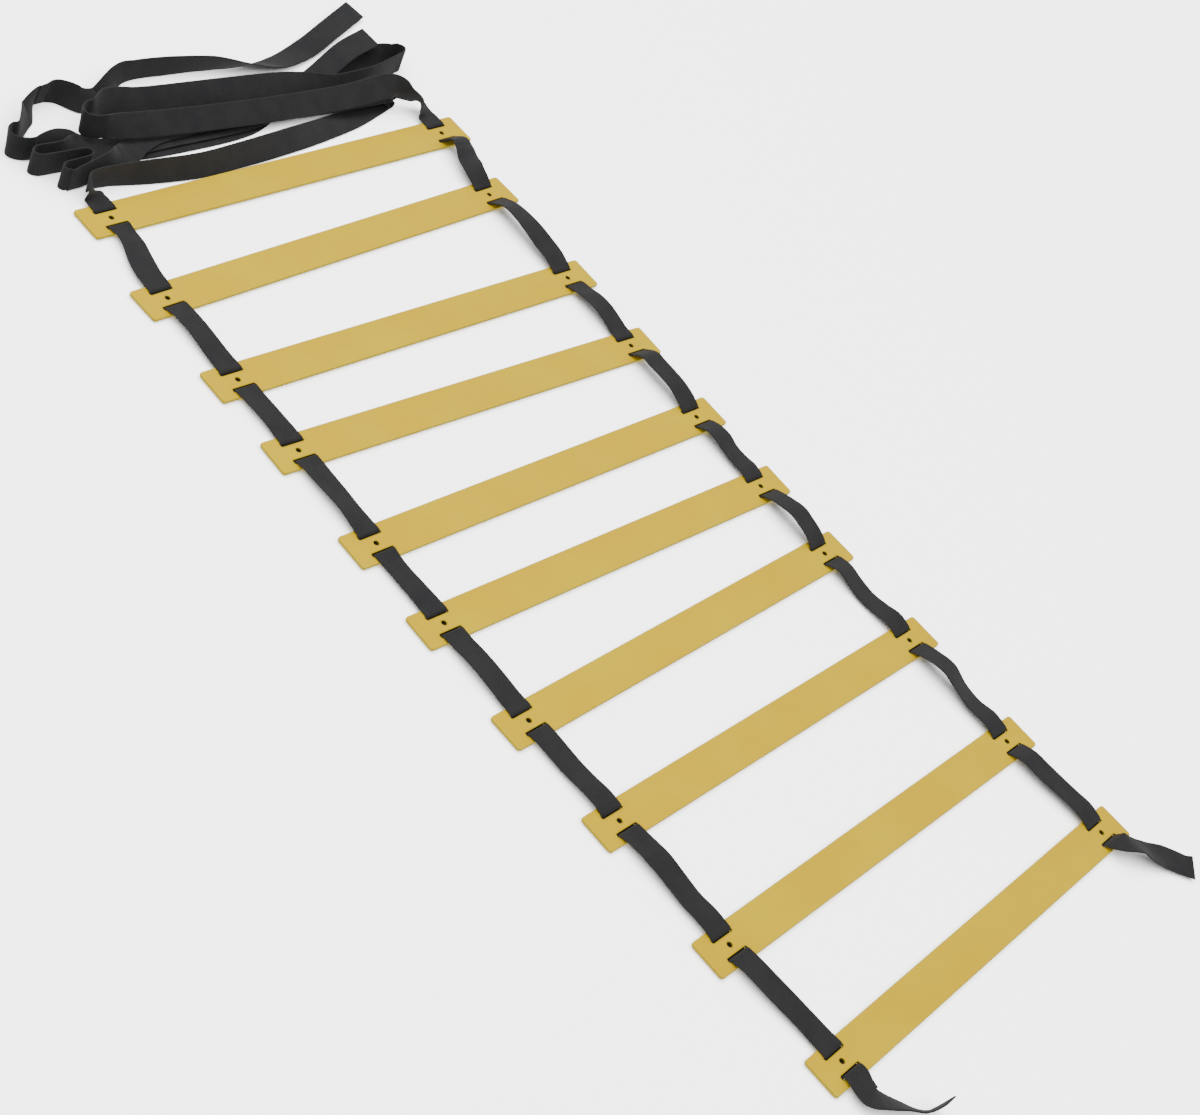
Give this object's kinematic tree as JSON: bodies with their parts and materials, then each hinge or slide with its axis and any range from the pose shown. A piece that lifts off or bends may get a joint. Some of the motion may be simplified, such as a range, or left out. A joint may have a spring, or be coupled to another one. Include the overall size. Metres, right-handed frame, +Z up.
{
  "type": "agility ladder",
  "caption": "Agility ladder: flat yellow plastic rungs threaded on black webbing straps, laid out with its surplus webbing folded up behind the end rung.",
  "frame": {"origin": "on the floor, under the middle of the ladder's box without its loose webbing", "axes": "+X along the ladder from the bundle of surplus webbing to the free ends, +Y across it along the rungs, +Z up"},
  "size_m": [1.0176, 0.4429, 0.0305],
  "materials": {
    "rung_plastic": "satin",
    "webbing": "woven"
  },
  "bodies": {
    "step_1": {"rung_1": "rung_plastic", "left_webbing_at_rung_1": "webbing", "right_webbing_at_rung_1": "webbing", "left_webbing_bundle": "webbing", "right_webbing_bundle": "webbing"},
    "bay_1": {"left_webbing_1_to_2": "webbing", "right_webbing_1_to_2": "webbing"},
    "step_2": {"rung_2": "rung_plastic", "left_webbing_at_rung_2": "webbing", "right_webbing_at_rung_2": "webbing"},
    "bay_2": {"left_webbing_2_to_3": "webbing", "right_webbing_2_to_3": "webbing"},
    "step_3": {"rung_3": "rung_plastic", "left_webbing_at_rung_3": "webbing", "right_webbing_at_rung_3": "webbing"},
    "bay_3": {"left_webbing_3_to_4": "webbing", "right_webbing_3_to_4": "webbing"},
    "step_4": {"rung_4": "rung_plastic", "left_webbing_at_rung_4": "webbing", "right_webbing_at_rung_4": "webbing"},
    "bay_4": {"left_webbing_4_to_5": "webbing", "right_webbing_4_to_5": "webbing"},
    "step_5": {"rung_5": "rung_plastic", "left_webbing_at_rung_5": "webbing", "right_webbing_at_rung_5": "webbing"},
    "bay_5": {"left_webbing_5_to_6": "webbing", "right_webbing_5_to_6": "webbing"},
    "step_6": {"rung_6": "rung_plastic", "left_webbing_at_rung_6": "webbing", "right_webbing_at_rung_6": "webbing"},
    "bay_6": {"left_webbing_6_to_7": "webbing", "right_webbing_6_to_7": "webbing"},
    "step_7": {"rung_7": "rung_plastic", "left_webbing_at_rung_7": "webbing", "right_webbing_at_rung_7": "webbing"},
    "bay_7": {"left_webbing_7_to_8": "webbing", "right_webbing_7_to_8": "webbing"},
    "step_8": {"rung_8": "rung_plastic", "left_webbing_at_rung_8": "webbing", "right_webbing_at_rung_8": "webbing"},
    "bay_8": {"left_webbing_8_to_9": "webbing", "right_webbing_8_to_9": "webbing"},
    "step_9": {"rung_9": "rung_plastic", "left_webbing_at_rung_9": "webbing", "right_webbing_at_rung_9": "webbing"},
    "bay_9": {"left_webbing_9_to_10": "webbing", "right_webbing_9_to_10": "webbing"},
    "step_10": {"rung_10": "rung_plastic", "left_webbing_at_rung_10": "webbing", "right_webbing_at_rung_10": "webbing", "left_webbing_tail": "webbing", "right_webbing_tail": "webbing"}
  },
  "joints": [
    {"name": "bay_1_spacing", "type": "slide", "parent": "step_1", "child": "bay_1", "axis": [1, 0, 0], "range_m": [-0.027, 0.14], "deforming": ["left_webbing_1_to_2", "right_webbing_1_to_2"]},
    {"name": "fold_1", "type": "hinge", "parent": "bay_1", "child": "step_2", "pos_m": [-0.33293, -0.0044, 0.0044], "axis": [0.0419, -0.9991, 0], "range_deg": [0, 150], "deforming": ["left_webbing_1_to_2", "right_webbing_1_to_2"]},
    {"name": "bay_2_spacing", "type": "slide", "parent": "step_2", "child": "bay_2", "axis": [1, 0, 0], "range_m": [-0.036, 0.126], "deforming": ["left_webbing_2_to_3", "right_webbing_2_to_3"]},
    {"name": "fold_2", "type": "hinge", "parent": "bay_2", "child": "step_3", "pos_m": [-0.24031, -0.00354, 0.0044], "axis": [0.007, 1, 0], "range_deg": [0, 150], "deforming": ["left_webbing_2_to_3", "right_webbing_2_to_3"]},
    {"name": "bay_3_spacing", "type": "slide", "parent": "step_3", "child": "bay_3", "axis": [1, 0, 0], "range_m": [-0.023, 0.144], "deforming": ["left_webbing_3_to_4", "right_webbing_3_to_4"]},
    {"name": "fold_3", "type": "hinge", "parent": "bay_3", "child": "step_4", "pos_m": [-0.16495, -0.00347, 0.0044], "axis": [-0.0332, -0.9995, 0], "range_deg": [0, 150], "deforming": ["left_webbing_3_to_4", "right_webbing_3_to_4"]},
    {"name": "bay_4_spacing", "type": "slide", "parent": "step_4", "child": "bay_4", "axis": [1, 0, 0], "range_m": [-0.034, 0.133], "deforming": ["left_webbing_4_to_5", "right_webbing_4_to_5"]},
    {"name": "fold_4", "type": "hinge", "parent": "bay_4", "child": "step_5", "pos_m": [-0.07939, -0.00547, 0.0044], "axis": [0.0105, 0.9999, 0], "range_deg": [0, 150], "deforming": ["left_webbing_4_to_5", "right_webbing_4_to_5"]},
    {"name": "bay_5_spacing", "type": "slide", "parent": "step_5", "child": "bay_5", "axis": [1, 0, 0], "range_m": [-0.027, 0.143], "deforming": ["left_webbing_5_to_6", "right_webbing_5_to_6"]},
    {"name": "fold_5", "type": "hinge", "parent": "bay_5", "child": "step_6", "pos_m": [-0.00324, -0.00615, 0.0044], "axis": [-0.0174, -0.9998, 0], "range_deg": [0, 150], "deforming": ["left_webbing_5_to_6", "right_webbing_5_to_6"]},
    {"name": "bay_6_spacing", "type": "slide", "parent": "step_6", "child": "bay_6", "axis": [1, 0, 0], "range_m": [-0.026, 0.137], "deforming": ["left_webbing_6_to_7", "right_webbing_6_to_7"]},
    {"name": "fold_6", "type": "hinge", "parent": "bay_6", "child": "step_7", "pos_m": [0.0784, -0.00652, 0.0044], "axis": [-0.0262, 0.9997, 0], "range_deg": [0, 150], "deforming": ["left_webbing_6_to_7", "right_webbing_6_to_7"]},
    {"name": "bay_7_spacing", "type": "slide", "parent": "step_7", "child": "bay_7", "axis": [1, 0, 0], "range_m": [-0.042, 0.127], "deforming": ["left_webbing_7_to_8", "right_webbing_7_to_8"]},
    {"name": "fold_7", "type": "hinge", "parent": "bay_7", "child": "step_8", "pos_m": [0.17024, -0.00354, 0.0044], "axis": [0.0157, -0.9999, 0], "range_deg": [0, 150], "deforming": ["left_webbing_7_to_8", "right_webbing_7_to_8"]},
    {"name": "bay_8_spacing", "type": "slide", "parent": "step_8", "child": "bay_8", "axis": [1, 0, 0], "range_m": [-0.058, 0.113], "deforming": ["left_webbing_8_to_9", "right_webbing_8_to_9"]},
    {"name": "fold_8", "type": "hinge", "parent": "bay_8", "child": "step_9", "pos_m": [0.27622, -0.0016, 0.0044], "axis": [-0.0192, 0.9998, 0], "range_deg": [0, 150], "deforming": ["left_webbing_8_to_9", "right_webbing_8_to_9"]},
    {"name": "bay_9_spacing", "type": "slide", "parent": "step_9", "child": "bay_9", "axis": [1, 0, 0], "range_m": [-0.047, 0.122], "deforming": ["left_webbing_9_to_10", "right_webbing_9_to_10"]},
    {"name": "fold_9", "type": "hinge", "parent": "bay_9", "child": "step_10", "pos_m": [0.37356, 0.00576, 0.0044], "axis": [0.0332, -0.9995, 0], "range_deg": [0, 150], "deforming": ["left_webbing_9_to_10", "right_webbing_9_to_10"]}
  ]
}
